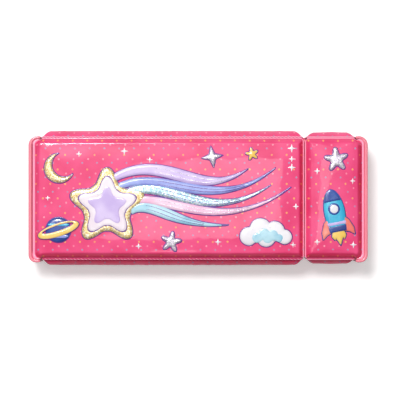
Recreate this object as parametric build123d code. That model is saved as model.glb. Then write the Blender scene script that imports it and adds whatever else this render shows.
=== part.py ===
"""Pencil box: a moulded case with a large and a small compartment, each under its own padded lid.

The box lies flat. +X runs along its length towards the small compartment, +Y towards the hinges,
+Z up. The origin is at the centre of the footprint, on the surface that the box rests on.
All sizes are in millimetres.
"""
from build123d import *
import math
import os

# Overall size
overall_length = 240.0
overall_width = 95.0
overall_height = 40.0

# Moulded case
case_wall = 1.8
case_floor = 1.8
case_corner_radius = 4.0
partition_centre_x = 75.2
partition_thickness = 1.8

# End caps, one at each short side
cap_wall = 2.4
cap_arm_thickness = 2.0
cap_arm_reach = 8.4
cap_front_reach = 1.85
cap_corner_radius = 6.4
cap_rim_height = 3.1
cap_flange_thickness = 1.6
cap_floor_gap = 1.0
cap_end_radius = 1.0
cap_fit_gap = 0.2
cap_side_gap = 0.35
hook_width = 11.0
hook_stem = 2.2
hook_barb = 1.0
hook_barb_length = 1.0
hook_spacing = 44.0
hook_drop = 6.5
hook_gap = 0.3

# Welded vinyl panels
weld_thickness = 1.0
weld_width = 1.0
lid_puff = 3.6
lid_crown = 0.6
lid_crown_inset = 16.0
main_side_puff = 4.1
small_side_puff = 3.2
puff_roll = 3.9
base_puff = 1.2
base_roll = 2.4
base_weld = 0.6
base_corner_radius = 3.0
base_end_gap = 0.6
panel_corner_radius = 1.5
board_thickness = 1.2
side_board_thickness = 0.7
base_board_thickness = 1.0

# Lids and flaps in plan
lid_gap = 0.8
lid_joint_gap = 0.8
lid_case_gap = 0.2
lid_corner_inset = 2.0
lid_corner_radius = 5.0
lid_joint_radius = 2.0
lid_puff_end_gap = 0.6
lid_puff_side_gap = 0.2
bay_corner_radius = 1.5
flap_left_setback = 9.5
main_flap_right_setback = 1.2
small_flap_left_setback = 1.5
small_flap_right_setback = 9.2
flap_lower_edge = 6.5
flap_case_gap = 0.3
spine_lower_gap = 0.1
spine_board_lift = 2.0
spine_board_drop = 0.4
flap_board_lift = 1.0
flap_board_drop = 2.3
lid_board_end_gap = 0.6
lid_board_side_gap = 2.1

# Weld seams that the lids and flaps fold on
seam_radius = 0.75
seam_gap = 0.10
seam_foot = 1.0

# Magnets and their steel keepers
magnet_length = 18.0
magnet_height = 7.0
magnet_thickness = 1.0
magnet_pocket_gap = 0.1
magnet_rise = 9.5
main_magnet_spacing = 96.0
keeper_length = 16.0
keeper_height = 8.0
keeper_thickness = 0.8

# Tilting pencil rack
rack_slots = 5
rack_pitch = 9.2
rack_slot_width = 7.8
rack_plate = 1.6
rack_reach = 48.0
rack_rail_length = 8.0
rack_rail_height = 10.2
rack_floor_gap = 0.4
rack_notch_web = 1.0
rack_pivot_inset = 4.6
rack_knuckle_radius = 2.2
rack_side_gap = 0.4
rack_back_gap = 3.1
pin_radius = 1.0
pin_gap = 0.05
ear_thickness = 2.5
ear_radius = 3.0

# Low wall between the pencil bay and the front bay
divider_thickness = 1.4
divider_height = 13.0
divider_foot = 6.0
divider_end_gap = 0.3
divider_ear_gap = 1.0

# Insert in the small compartment
tray_gap = 0.3
tray_wall = 1.2
tray_height = 14.0
tray_split_y = 8.0

# Sharpener
sharpener_length = 24.0
sharpener_width = 15.0
sharpener_height = 12.0
sharpener_mouth_radius = 4.1
sharpener_tip_radius = 0.9
sharpener_cone_depth = 21.0
sharpener_cone_share = 0.45
sharpener_corner_radius = 1.2
sharpener_grip_radius = 0.7
sharpener_grip_pitch = 3.0
sharpener_grips = 5
blade_length = 21.0
blade_width = 8.0
blade_thickness = 0.6
blade_offset = 1.4
blade_seat_drop = 1.4
blade_seat_gap = 0.05
screw_head_radius = 2.3
screw_head_height = 1.2
screw_radius = 1.0
screw_length = 3.4
screw_offset = 3.4
screw_slot_width = 0.7
screw_slot_depth = 0.5

# Levels that the sizes above give
base_board_z = base_weld + base_puff
case_z = base_board_z + base_board_thickness
floor_z = case_z + case_floor
lid_weld_z = overall_height - lid_crown - lid_puff - weld_thickness
board_z = lid_weld_z - board_thickness
rim_z = board_z - lid_case_gap
case_height = rim_z - case_z
seam_z = lid_weld_z + weld_thickness / 2
cap_top_z = rim_z + cap_rim_height
spine_lower_z = base_board_z + spine_lower_gap
magnet_z = flap_lower_edge + magnet_rise
hook_z = rim_z - hook_drop

# Places that the sizes above give, in plan
spine_board_thickness = side_board_thickness + flap_case_gap
seam_y = overall_width / 2 - main_side_puff - weld_thickness / 2
case_side_y = seam_y - weld_thickness / 2 - spine_board_thickness
cap_inner_x = overall_length / 2 - cap_wall
case_end_x = cap_inner_x - cap_fit_gap
bay_end_x = case_end_x - case_wall
bay_side_y = case_side_y - case_wall
lid_end_x = cap_inner_x - lid_gap
lid_side_y = seam_y - lid_corner_inset
main_lid_right_x = partition_centre_x - lid_joint_gap / 2
small_lid_left_x = partition_centre_x + lid_joint_gap / 2
main_flap_left_x = -overall_length / 2 + flap_left_setback
main_flap_right_x = partition_centre_x - main_flap_right_setback
small_flap_left_x = partition_centre_x + small_flap_left_setback
small_flap_right_x = overall_length / 2 - small_flap_right_setback
seam_edge = seam_radius + seam_gap
rack_width = rack_slots * rack_pitch
rack_high_y = bay_side_y - rack_back_gap
rack_low_y = rack_high_y - rack_width
rack_pivot_x = -bay_end_x + rack_pivot_inset
rack_pivot_z = floor_z + rack_floor_gap + rack_knuckle_radius
divider_y = rack_low_y - rack_side_gap - ear_thickness - divider_ear_gap
base_end_x = overall_length / 2 - cap_arm_reach - base_end_gap


def slab(x0, x1, y0, y1, z0, z1):
    """A box between two corners."""
    middle = Pos((x0 + x1) / 2, (y0 + y1) / 2, (z0 + z1) / 2)
    return middle * Box(x1 - x0, y1 - y0, z1 - z0)


def rounded_face(x0, x1, y0, y1, radius_left, radius_right):
    """A rectangle in plan with its own corner radius at each end."""
    face = Rectangle(x1 - x0, y1 - y0)
    face = fillet(face.vertices().group_by(Axis.X)[-1], radius_right)
    face = fillet(face.vertices().group_by(Axis.X)[0], radius_left)
    return Pos((x0 + x1) / 2, (y0 + y1) / 2, 0) * face


def puff(x0, x1, y0, y1, radius_left, radius_right, rise, roll, crown=0.0, crown_inset=0.0):
    """Foam under vinyl: it rolls up from the weld line and stays a little crowned on top."""
    steps = [(0.0, 0.0), (roll * 0.25, rise * 0.45), (roll * 0.6, rise * 0.84), (roll, rise)]
    if crown > 0:
        steps.append((crown_inset, rise + crown))
    sections = []
    for inset, height in steps:
        left = max(radius_left - inset, 1.0)
        right = max(radius_right - inset, 1.0)
        face = rounded_face(x0 + inset, x1 - inset, y0 + inset, y1 - inset, left, right)
        sections.append(Pos(0, 0, height) * face)
    return loft(sections, ruled=True)


def upright_panel(x0, x1, z0, z1, side, weld_y, rise):
    """A padded panel on a long side: a welded edge with foam that bulges away from the case."""
    middle_z = (z0 + z1) / 2
    height = z1 - z0
    plane = Plane(origin=(0, side * weld_y, middle_z), x_dir=(1, 0, 0), z_dir=(0, side, 0))
    plate = slab(x0, x1, -height / 2, height / 2, 0, weld_thickness)
    foam = puff(x0 + weld_width, x1 - weld_width, -height / 2 + weld_width,
                height / 2 - weld_width, panel_corner_radius, panel_corner_radius, rise, puff_roll)
    return plane * (plate + Pos(0, 0, weld_thickness) * foam)


def magnet_places():
    """Middle of each magnet along the box: two for the large flap and one for the small flap."""
    main_middle = (main_flap_left_x + main_flap_right_x) / 2
    small_middle = (small_flap_left_x + small_flap_right_x) / 2
    main = [main_middle - main_magnet_spacing / 2, main_middle + main_magnet_spacing / 2]
    return main, [small_middle]


def magnet_block(x, grow):
    """One magnet lying in the flap's board, or its pocket when it is grown by a gap."""
    inner_y = -(case_side_y + flap_case_gap + magnet_pocket_gap)
    outer_y = inner_y - magnet_thickness
    return slab(x - magnet_length / 2 - grow, x + magnet_length / 2 + grow,
                outer_y - grow, inner_y + grow,
                magnet_z - magnet_height / 2 - grow, magnet_z + magnet_height / 2 + grow)


def keeper_block(x, grow):
    """One steel keeper, flush in the front wall of the case, or its pocket."""
    outer_y = -case_side_y
    return slab(x - keeper_length / 2 - grow, x + keeper_length / 2 + grow,
                outer_y, outer_y + keeper_thickness + grow,
                magnet_z - keeper_height / 2 - grow, magnet_z + keeper_height / 2 + grow)


def hook_places():
    """Middle of each snap hook across an end cap."""
    return [-hook_spacing / 2, hook_spacing / 2]


def case_shell():
    """The moulded case: floor, four walls and the partition between the compartments."""
    outer = rounded_face(-case_end_x, case_end_x, -case_side_y, case_side_y,
                         case_corner_radius, case_corner_radius)
    body = Pos(0, 0, case_z) * extrude(outer, amount=case_height)
    inner_radius = case_corner_radius - case_wall
    main_bay = rounded_face(-bay_end_x, partition_centre_x - partition_thickness / 2,
                            -bay_side_y, bay_side_y, inner_radius, bay_corner_radius)
    small_bay = rounded_face(partition_centre_x + partition_thickness / 2, bay_end_x,
                             -bay_side_y, bay_side_y, bay_corner_radius, inner_radius)
    for bay in (main_bay, small_bay):
        body -= Pos(0, 0, floor_z) * extrude(bay, amount=case_height)
    for side in (-1, 1):
        for y in hook_places():
            half_width = hook_width / 2 + hook_gap
            half_height = hook_stem / 2 + hook_gap
            middle_x = side * (case_end_x - case_wall / 2)
            body -= slab(middle_x - case_wall, middle_x + case_wall, y - half_width, y + half_width,
                         hook_z - half_height, hook_z + half_height)
    main, small = magnet_places()
    for x in main + small:
        body -= keeper_block(x, magnet_pocket_gap)
    return body


def keeper_plates():
    """Steel plates that the flap magnets hold on to."""
    main, small = magnet_places()
    return Compound(children=[keeper_block(x, 0) for x in main + small])


def end_cap(side):
    """A glossy cap clipped on one short side: end wall, two arms round the corners, a floor lip.

    The front arm is the thicker one. The back arm stays slim, because the lid's corner swings
    over it.
    """
    outer_x = overall_length / 2
    arm_end_x = outer_x - cap_arm_reach
    inner_y = case_side_y + cap_side_gap
    outer_y = inner_y + cap_arm_thickness
    front_y = outer_y + cap_front_reach
    far_x = arm_end_x - cap_arm_reach
    plan = rounded_face(far_x, outer_x, -front_y, outer_y, cap_end_radius, cap_corner_radius)
    hollow = rounded_face(far_x - cap_arm_reach, cap_inner_x, -inner_y, inner_y, cap_end_radius,
                          cap_corner_radius - cap_arm_thickness)
    cap = extrude(plan, amount=cap_top_z - cap_floor_gap) - extrude(hollow, amount=cap_top_z)
    cap += extrude(plan, amount=cap_flange_thickness)
    cap = Pos(0, 0, cap_floor_gap) * cap
    cap -= slab(far_x - cap_arm_reach, arm_end_x, -overall_width, overall_width, 0, overall_height)
    stem_end = bay_end_x - hook_gap
    tip_x = stem_end - hook_barb_length
    for y in hook_places():
        low_y = y - hook_width / 2
        high_y = y + hook_width / 2
        cap += slab(tip_x, cap_inner_x, low_y, high_y, hook_z - hook_stem / 2,
                    hook_z + hook_stem / 2)
        cap += slab(tip_x, stem_end, low_y, high_y, hook_z, hook_z + hook_stem / 2 + hook_barb)
    if side < 0:
        cap = mirror(cap, about=Plane.YZ)
    return cap


def base_board():
    """Stiff board under the case floor, inside the padded underside."""
    return slab(-base_end_x, base_end_x, -case_side_y, case_side_y, base_board_z, case_z)


def base_pad():
    """Padded vinyl underside, flat where the box rests."""
    rear_y = seam_y + weld_thickness / 2
    plate = slab(-base_end_x, base_end_x, -case_side_y, rear_y, base_puff, base_board_z)
    foam = puff(-base_end_x + weld_width, base_end_x - weld_width, -case_side_y + weld_width,
                case_side_y - weld_width, base_corner_radius, base_corner_radius, base_puff,
                base_roll)
    return plate + Pos(0, 0, base_puff) * mirror(foam, about=Plane.XY)


def spine_board(x0, x1):
    """Stiff board between the case's back wall and a padded spine panel."""
    return slab(x0 + weld_width, x1 - weld_width, case_side_y, case_side_y + spine_board_thickness,
                spine_lower_z + spine_board_lift, rim_z - spine_board_drop)


def spine_pad(x0, x1, rise):
    """Padded vinyl panel down the hinge side."""
    return upright_panel(x0, x1, spine_lower_z, seam_z - seam_foot, 1,
                         seam_y - weld_thickness / 2, rise)


def hinge_seam(x0, x1):
    """The welded vinyl bead that a lid turns on, standing on the edge of its spine panel."""
    bead = Pos((x0 + x1) / 2, seam_y, seam_z) * Rot(0, 90, 0) * Cylinder(seam_radius, x1 - x0)
    foot = slab(x0, x1, seam_y - weld_thickness / 2, seam_y + weld_thickness / 2,
                seam_z - seam_foot, seam_z)
    return bead + foot


def lid_board(x0, x1, radius_left, radius_right):
    """Stiff inner panel of a lid, which closes on the rim of the case."""
    side_y = seam_y - lid_board_side_gap
    face = rounded_face(x0 + lid_board_end_gap, x1 - lid_board_end_gap, -side_y, side_y,
                        radius_left, radius_right)
    return Pos(0, 0, board_z) * extrude(face, amount=board_thickness)


def lid_pad(x0, x1, strip_x0, strip_x1, radius_left, radius_right):
    """Padded vinyl top of a lid, with a thin welded edge all round."""
    plate = rounded_face(x0, x1, -lid_side_y, lid_side_y, radius_left, radius_right)
    weld = extrude(plate, amount=weld_thickness)
    weld += slab(strip_x0, strip_x1, -(seam_y - seam_foot), seam_y - seam_edge, 0, weld_thickness)
    left = weld_width + (lid_puff_end_gap if x0 < 0 else 0)
    right = weld_width + (0 if x0 < 0 else lid_puff_end_gap)
    side_y = lid_side_y - lid_puff_side_gap
    foam = puff(x0 + left, x1 - right, -side_y, side_y, radius_left, radius_right,
                lid_puff, puff_roll, lid_crown, lid_crown_inset)
    return Pos(0, 0, lid_weld_z) * (weld + Pos(0, 0, weld_thickness) * foam)


def flap_seam(x0, x1):
    """The welded vinyl bead that a flap folds on, along the front edge of its lid."""
    bead = Pos((x0 + x1) / 2, -seam_y, seam_z) * Rot(0, 90, 0) * Cylinder(seam_radius, x1 - x0)
    foot = slab(x0, x1, -seam_y, -seam_y + seam_foot,
                seam_z - weld_thickness / 2, seam_z + weld_thickness / 2)
    return bead + foot


def flap_board(x0, x1, magnets):
    """Stiff inner panel of a flap, with a window for each magnet."""
    outer_y = -(seam_y - weld_thickness / 2)
    board = slab(x0 + weld_width, x1 - weld_width, outer_y, outer_y + side_board_thickness,
                 flap_lower_edge + flap_board_lift, seam_z - flap_board_drop)
    for x in magnets:
        board -= magnet_block(x, magnet_pocket_gap)
    return board


def flap_pad(x0, x1, magnets, rise):
    """Padded vinyl flap that hangs over the front wall, hollowed behind each magnet."""
    pad = upright_panel(x0, x1, flap_lower_edge, seam_z - seam_edge, -1,
                        seam_y - weld_thickness / 2, rise)
    for x in magnets:
        pad -= magnet_block(x, magnet_pocket_gap)
    return pad


def flap_magnets(magnets):
    """The magnets of one flap."""
    if len(magnets) == 1:
        return magnet_block(magnets[0], 0)
    return Compound(children=[magnet_block(x, 0) for x in magnets])


def pencil_rack():
    """A plate on a pin with a notched rail at its free end, so that the pencils tip up."""
    plate_z = floor_z + rack_floor_gap
    end_x = rack_pivot_x + rack_reach
    rack = slab(rack_pivot_x, end_x, rack_low_y, rack_high_y, plate_z, plate_z + rack_plate)
    rack += slab(end_x - rack_rail_length, end_x, rack_low_y, rack_high_y, plate_z,
                 plate_z + rack_plate + rack_rail_height)
    middle_y = (rack_low_y + rack_high_y) / 2
    rod = Pos(rack_pivot_x, middle_y, rack_pivot_z) * Rot(90, 0, 0)
    rack += rod * Cylinder(rack_knuckle_radius, rack_width)
    rack -= rod * Cylinder(pin_radius + pin_gap, rack_width + 2)
    slot_radius = rack_slot_width / 2
    for slot in range(rack_slots):
        y = rack_low_y + rack_pitch * (slot + 0.5)
        bottom_z = plate_z + rack_plate + rack_notch_web + slot_radius
        notch = Pos(end_x - rack_rail_length / 2, y, bottom_z) * Rot(0, 90, 0)
        rack -= notch * Cylinder(slot_radius, rack_rail_length + 2)
        rack -= slab(end_x - rack_rail_length - 1, end_x + 1, y - slot_radius, y + slot_radius,
                     bottom_z, bottom_z + rack_rail_height)
    return rack


def rack_ears():
    """Two lugs on the case floor that carry the rack's pin."""
    ears = []
    for low_y in (rack_low_y - rack_side_gap - ear_thickness, rack_high_y + rack_side_gap):
        ear = slab(rack_pivot_x - ear_radius, rack_pivot_x + ear_radius, low_y,
                   low_y + ear_thickness, floor_z, rack_pivot_z)
        crown = Pos(rack_pivot_x, low_y + ear_thickness / 2, rack_pivot_z) * Rot(90, 0, 0)
        ear += crown * Cylinder(ear_radius, ear_thickness)
        ear -= slab(rack_pivot_x - 2 * ear_radius, rack_pivot_x + 2 * ear_radius, low_y,
                    low_y + ear_thickness, floor_z - ear_radius, floor_z)
        ear -= crown * Cylinder(pin_radius + pin_gap / 2, ear_thickness + 1)
        ears.append(ear)
    return Compound(children=ears)


def rack_pin():
    """Steel pin through the ears and the rack."""
    length = rack_width + 2 * (rack_side_gap + ear_thickness)
    middle_y = (rack_low_y + rack_high_y) / 2
    return Pos(rack_pivot_x, middle_y, rack_pivot_z) * Rot(90, 0, 0) * Cylinder(pin_radius, length)


def bay_divider():
    """A low wall on its own foot, between the pencil bay and the front bay."""
    x0 = -bay_end_x + divider_end_gap
    x1 = partition_centre_x - partition_thickness / 2 - divider_end_gap
    wall = slab(x0, x1, divider_y - divider_thickness, divider_y, floor_z,
                floor_z + divider_height)
    foot = slab(x0 + divider_foot, x1, divider_y - divider_thickness - divider_foot,
                divider_y, floor_z, floor_z + divider_thickness)
    return wall + foot


def small_tray():
    """A thin moulded insert that splits the small compartment in two cells."""
    x0 = partition_centre_x + partition_thickness / 2 + tray_gap
    x1 = bay_end_x - tray_gap
    side_y = bay_side_y - tray_gap
    corner = case_corner_radius - case_wall
    outer = rounded_face(x0, x1, -side_y, side_y, corner, corner)
    tray = extrude(outer, amount=tray_height)
    cells = [(-side_y + tray_wall, tray_split_y - tray_wall / 2),
             (tray_split_y + tray_wall / 2, side_y - tray_wall)]
    for low_y, high_y in cells:
        cell = rounded_face(x0 + tray_wall, x1 - tray_wall, low_y, high_y, tray_wall, tray_wall)
        tray -= Pos(0, 0, tray_wall) * extrude(cell, amount=tray_height)
    return Pos(0, 0, floor_z) * tray


def sharpener_place():
    """Where the sharpener's underside is centred, in the rear cell of the tray."""
    x = (partition_centre_x + partition_thickness / 2 + bay_end_x) / 2
    y = (tray_split_y + bay_side_y) / 2
    return Pos(x, y, floor_z + tray_wall)


def blade_tilt():
    """Angle of the blade, which lies along the side of the cone."""
    return math.degrees(math.atan2(sharpener_mouth_radius - sharpener_tip_radius,
                                   sharpener_cone_depth))


def blade_frame():
    """Plane of the blade's underside, with its middle over the cone."""
    return Pos(0, 0, sharpener_height - blade_seat_drop) * Rot(blade_tilt(), 0, 0)


def sharpener_body():
    """Small sharpener block with a conical hole, grip grooves and a sloping seat for the blade."""
    body = Pos(0, 0, sharpener_height / 2) * Box(sharpener_width, sharpener_length, sharpener_height)
    edges = body.edges().filter_by(Axis.Z)
    body = fillet(edges, sharpener_corner_radius)
    cone = Cone(sharpener_mouth_radius, sharpener_tip_radius, sharpener_cone_depth)
    place = Pos(0, sharpener_length / 2 - sharpener_cone_depth / 2,
                sharpener_height * sharpener_cone_share)
    body -= place * Rot(90, 0, 0) * cone
    body -= blade_frame() * slab(-sharpener_width, sharpener_width, -sharpener_length,
                                 sharpener_length, 0, sharpener_height)
    for side in (-1, 1):
        for grip in range(sharpener_grips):
            y = (grip - (sharpener_grips - 1) / 2) * sharpener_grip_pitch
            groove = Cylinder(sharpener_grip_radius, 3 * sharpener_height)
            body -= Pos(side * sharpener_width / 2, y, 0) * groove
    hole = Pos(screw_offset, 0, 0) * Cylinder(screw_radius + blade_seat_gap, 2 * screw_length + 1)
    body -= blade_frame() * hole
    return sharpener_place() * body


def sharpener_blade():
    """Steel blade lying on the sloping seat."""
    blade = Box(blade_width, blade_length, blade_thickness)
    blade = Pos(blade_offset, 0, blade_thickness / 2 + blade_seat_gap) * blade
    blade -= Pos(screw_offset, 0, 0) * Cylinder(screw_radius + blade_seat_gap, blade_width)
    return sharpener_place() * blade_frame() * blade


def sharpener_screw():
    """Slotted screw that holds the blade."""
    head_z = blade_thickness + 2 * blade_seat_gap
    screw = Pos(0, 0, head_z + screw_head_height / 2) * Cylinder(screw_head_radius,
                                                               screw_head_height)
    screw += Pos(0, 0, head_z - screw_length / 2) * Cylinder(screw_radius, screw_length)
    slot = Box(3 * screw_head_radius, screw_slot_width, 2 * screw_slot_depth)
    screw -= Pos(0, 0, head_z + screw_head_height) * slot
    return sharpener_place() * blade_frame() * Pos(screw_offset, 0, 0) * screw


def main():
    main_magnets, small_magnets = magnet_places()
    main_strip = (main_flap_left_x, main_flap_right_x)
    small_strip = (small_flap_left_x, small_flap_right_x)
    nodes = {
        "case_shell": case_shell(),
        "keeper_plates": keeper_plates(),
        "left_end_cap": end_cap(-1),
        "right_end_cap": end_cap(1),
        "base_board": base_board(),
        "base_pad": base_pad(),
        "main_spine_board": spine_board(*main_strip),
        "main_spine_pad": spine_pad(*main_strip, main_side_puff),
        "main_hinge_seam": hinge_seam(*main_strip),
        "small_spine_board": spine_board(*small_strip),
        "small_spine_pad": spine_pad(*small_strip, small_side_puff),
        "small_hinge_seam": hinge_seam(*small_strip),
        "bay_divider": bay_divider(),
        "rack_ears": rack_ears(),
        "rack_pin": rack_pin(),
        "pencil_rack": pencil_rack(),
        "small_tray": small_tray(),
        "sharpener_body": sharpener_body(),
        "sharpener_blade": sharpener_blade(),
        "sharpener_screw": sharpener_screw(),
        "main_lid_board": lid_board(-lid_end_x, main_lid_right_x, lid_corner_radius,
                                    lid_joint_radius),
        "main_lid_pad": lid_pad(-lid_end_x, main_lid_right_x, *main_strip, lid_corner_radius,
                                lid_joint_radius),
        "main_flap_seam": flap_seam(*main_strip),
        "main_flap_board": flap_board(*main_strip, main_magnets),
        "main_flap_pad": flap_pad(*main_strip, main_magnets, main_side_puff),
        "main_flap_magnets": flap_magnets(main_magnets),
        "small_lid_board": lid_board(small_lid_left_x, lid_end_x, lid_joint_radius,
                                     lid_corner_radius),
        "small_lid_pad": lid_pad(small_lid_left_x, lid_end_x, *small_strip, lid_joint_radius,
                                 lid_corner_radius),
        "small_flap_seam": flap_seam(*small_strip),
        "small_flap_board": flap_board(*small_strip, small_magnets),
        "small_flap_pad": flap_pad(*small_strip, small_magnets, small_side_puff),
        "small_flap_magnet": flap_magnets(small_magnets),
    }
    os.makedirs("parts", exist_ok=True)
    for name, shape in nodes.items():
        export_step(shape, f"parts/{name}.step")
        size = shape.bounding_box().size
        print(f"{name}: {size.X:.2f} x {size.Y:.2f} x {size.Z:.2f} mm")


main()
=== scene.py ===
import math

import bmesh
import bpy
import numpy as np
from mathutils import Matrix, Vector, noise
from mathutils.bvhtree import BVHTree
from mathutils.geometry import delaunay_2d_cdt
from mathutils.kdtree import KDTree


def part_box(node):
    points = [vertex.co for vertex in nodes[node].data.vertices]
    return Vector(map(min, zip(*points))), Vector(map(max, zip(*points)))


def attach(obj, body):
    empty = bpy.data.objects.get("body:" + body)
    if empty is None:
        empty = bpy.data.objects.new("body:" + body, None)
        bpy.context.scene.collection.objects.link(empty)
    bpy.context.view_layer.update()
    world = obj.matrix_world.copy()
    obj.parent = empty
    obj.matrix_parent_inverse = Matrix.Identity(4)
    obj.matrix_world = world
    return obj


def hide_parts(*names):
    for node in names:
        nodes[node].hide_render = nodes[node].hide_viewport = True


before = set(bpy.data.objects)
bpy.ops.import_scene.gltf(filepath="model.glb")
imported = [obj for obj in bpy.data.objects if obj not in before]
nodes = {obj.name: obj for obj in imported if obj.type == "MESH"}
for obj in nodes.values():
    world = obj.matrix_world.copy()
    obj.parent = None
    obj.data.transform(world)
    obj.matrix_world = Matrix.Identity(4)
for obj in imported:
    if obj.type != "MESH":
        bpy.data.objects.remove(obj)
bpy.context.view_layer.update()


# Large lid. A stiff board under a sheet of foam and glossy printed vinyl, welded all round.
# The weld leaves a narrow bead at the edge, and the foam rolls up steeply behind it.
# Lengths in this script are millimetres, and a mesh is scaled to metres as it is made.
METRES = 0.001
MERGE = 2e-6
nowhere = (0, 0, 0)
white = (1, 1, 1, 1)
vinyl_pink = (0.90, 0.084, 0.245)
vinyl_deep = (0.82, 0.05, 0.18)
vinyl_coat = 0.65
printed_dots = [((1.0, 0.52, 0.13), (-109.3, 40.5, 0)), ((1.0, 0.33, 0.45), (-103.4, 37.5, 0)),
                ((0.38, 0.33, 0.52), (-107.6, 34.9, 0))]
dot_radius = 0.66
dot_blur = 0.14
dot_pitch = 10.4
dot_row = 10.2
fold_height = 35.3
fold_edge = 42.9
# Pale unprinted weld. Along the back fold and on the beads it also serves as a painted highlight.
weld_pale_and_highlight = (1.0, 0.40, 0.56)
# Painted shade: the print is multiplied by this tint where the mark is below 0, mostly on the front
# rolls and flaps.
painted_shade_tint = (0.82, 0.28, 0.42)


def box_mm(node):
    """Lowest and highest corner of a CAD node, in millimetres."""
    low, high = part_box(node)
    return [v / METRES for v in low], [v / METRES for v in high]


def placed(name, data):
    """A new object in the scene."""
    item = bpy.data.objects.new(name, data)
    bpy.context.scene.collection.objects.link(item)
    return item


def new_piece(name, verts, faces, body, slot, material, sharp=50, marks=None):
    """A smooth-shaded mesh piece from points in millimetres, riding on a body."""
    mesh = bpy.data.meshes.new(name)
    mesh.from_pydata([tuple(METRES * c for c in v) for v in verts], [], faces)
    if marks is not None:
        layer = mesh.attributes.new("mark", "FLOAT", "POINT")
        layer.data.foreach_set("value", np.array(marks, np.float32))
    work = bmesh.new()
    work.from_mesh(mesh)
    bmesh.ops.remove_doubles(work, verts=work.verts, dist=MERGE)
    bmesh.ops.recalc_face_normals(work, faces=work.faces)
    for face in work.faces:
        face.smooth = True
    work.to_mesh(mesh)
    work.free()
    mesh.set_sharp_from_angle(angle=math.radians(sharp))
    mesh.materials.append(material)
    piece = placed(name, mesh)
    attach(piece, body)
    return piece


def new_group(name, inputs, outputs):
    """An empty shader node group, with its input sockets by name and its output node."""
    group = bpy.data.node_groups.new(name, "ShaderNodeTree")
    kinds = {1: "NodeSocketFloat", 3: "NodeSocketVector", 4: "NodeSocketColor"}
    for label, value in inputs.items():
        kind = kinds[np.size(value)]
        group.interface.new_socket(label, in_out="INPUT", socket_type=kind).default_value = value
    for label in outputs:
        kind = kinds[4 if label == "Color" else 1]
        group.interface.new_socket(label, in_out="OUTPUT", socket_type=kind)
    return group, group.nodes.new("NodeGroupInput").outputs, group.nodes.new("NodeGroupOutput")


def feed(tree, node, **values):
    """Sets a node's inputs, by name or number (i0, i1), from values, sockets or other nodes."""
    for label, value in values.items():
        key = int(label[1:]) if label[0] == "i" and label[1:].isdigit() else label.replace("_", " ")
        socket = node.inputs[key]
        if isinstance(value, bpy.types.Node):
            value = next(output for output in value.outputs if output.enabled)
        if isinstance(value, bpy.types.NodeSocket):
            tree.links.new(value, socket)
        elif socket.type == "RGBA":
            socket.default_value = (*value[:3], 1.0)
        else:
            socket.default_value = value


def add_node(tree, kind, settings=None, **values):
    """A shader node with its properties set and its inputs fed."""
    node = tree.nodes.new("ShaderNode" + kind)
    for key, value in (settings or {}).items():
        setattr(node, key, value)
    feed(tree, node, **values)
    return node


def worked(tree, operation, *values, kind="Math"):
    """A sum on values."""
    return add_node(tree, kind, {"operation": operation}, **{f"i{k}": v for k, v in enumerate(values)})


def vectors(tree, operation, *values):
    """A sum on vectors."""
    return worked(tree, operation, *values, kind="VectorMath")


def ranged(tree, value, *limits, smooth=False):
    """A value moved from one range to another, given as from low, from high, to low, to high."""
    settings = {"interpolation_type": "SMOOTHSTEP" if smooth else "LINEAR"}
    return add_node(tree, "MapRange", settings, i0=value,
                    **{f"i{k}": limit for k, limit in enumerate(limits, 1)})


def mixed(tree, share, first, second, blend="MIX"):
    """One colour mixed with another."""
    return add_node(tree, "Mix", {"data_type": "RGBA", "blend_type": blend}, i0=share, i6=first,
                    i7=second)


def noisy(tree, place, scale, detail, **values):
    """Soft noise at a place."""
    return add_node(tree, "TexNoise", Vector=place, Scale=scale, Detail=detail, **values)


def dot_lattice_group():
    """Mask of round dots on a staggered lattice in sheet coordinates."""
    group, given, result = new_group(
        "dot_lattice", {"Sheet": nowhere, "First Dot": nowhere, "Radius": 1.0}, ["Mask"])
    wobble = noisy(group, given["Sheet"], 0.21, 1.0).outputs["Color"]
    shift = vectors(group, "MULTIPLY_ADD", wobble, (0.5, 0.5, 0.0), (-0.25, -0.25, 0.0))
    place = vectors(group, "SUBTRACT", given["Sheet"], given["First Dot"])
    moved = vectors(group, "ADD", place, shift)
    half = (dot_pitch / 2, dot_row)
    lengths = []
    for offset in (nowhere, (*half, 0)):
        start = vectors(group, "ADD", moved, offset)
        cell = vectors(group, "WRAP", start, (*half, 1), (-half[0], -half[1], -1))
        lengths.append(vectors(group, "LENGTH", cell))
    inside = worked(group, "SUBTRACT", given["Radius"], worked(group, "MINIMUM", *lengths))
    feed(group, result, Mask=ranged(group, inside, -dot_blur, dot_blur, smooth=True))
    return group


def polka_print_group():
    """Pink ground with three sets of small dots, printed under the clear skin."""
    group, given, result = new_group(
        "polka_print", {"Sheet": nowhere, "Ground": white, "Deep": white}, ["Color"])
    cloud = noisy(group, given["Sheet"], 0.045, 2.0, Roughness=0.45)
    colour = mixed(group, ranged(group, cloud, 0.35, 0.68, smooth=True), given["Ground"],
                   given["Deep"])
    patchy = noisy(group, given["Sheet"], 0.13, 1.0)
    strength = ranged(group, patchy, 0.3, 0.7, 0.5, 0.95)
    for tint, first_dot in printed_dots:
        dots = place_group(group, dot_lattice, Sheet=given["Sheet"], First_Dot=first_dot,
                           Radius=dot_radius)
        colour = mixed(group, worked(group, "MULTIPLY", dots, strength), colour, tint)
    feed(group, result, Color=colour)
    return group


def vinyl_skin_group():
    """Surface of soft vinyl: roughness that varies, and the height of faint waves and fine peel."""
    group, given, result = new_group(
        "vinyl_skin", {"Place": nowhere, "Roughness": 0.3, "Spread": 0.1}, ["Roughness", "Height"])
    smear = noisy(group, given["Place"], 55.0, 3.0)
    waves = noisy(group, given["Place"], 130.0, 1.0)
    peel = noisy(group, given["Place"], 1500.0, 2.0)
    feed(group, result, Height=worked(group, "MULTIPLY_ADD", peel, 0.05, waves),
         Roughness=worked(group, "MULTIPLY_ADD", smear, given["Spread"], given["Roughness"]))
    return group


def place_group(tree, group, **values):
    """A node group used in a tree."""
    return add_node(tree, "Group", {"node_tree": group}, **values)


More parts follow.
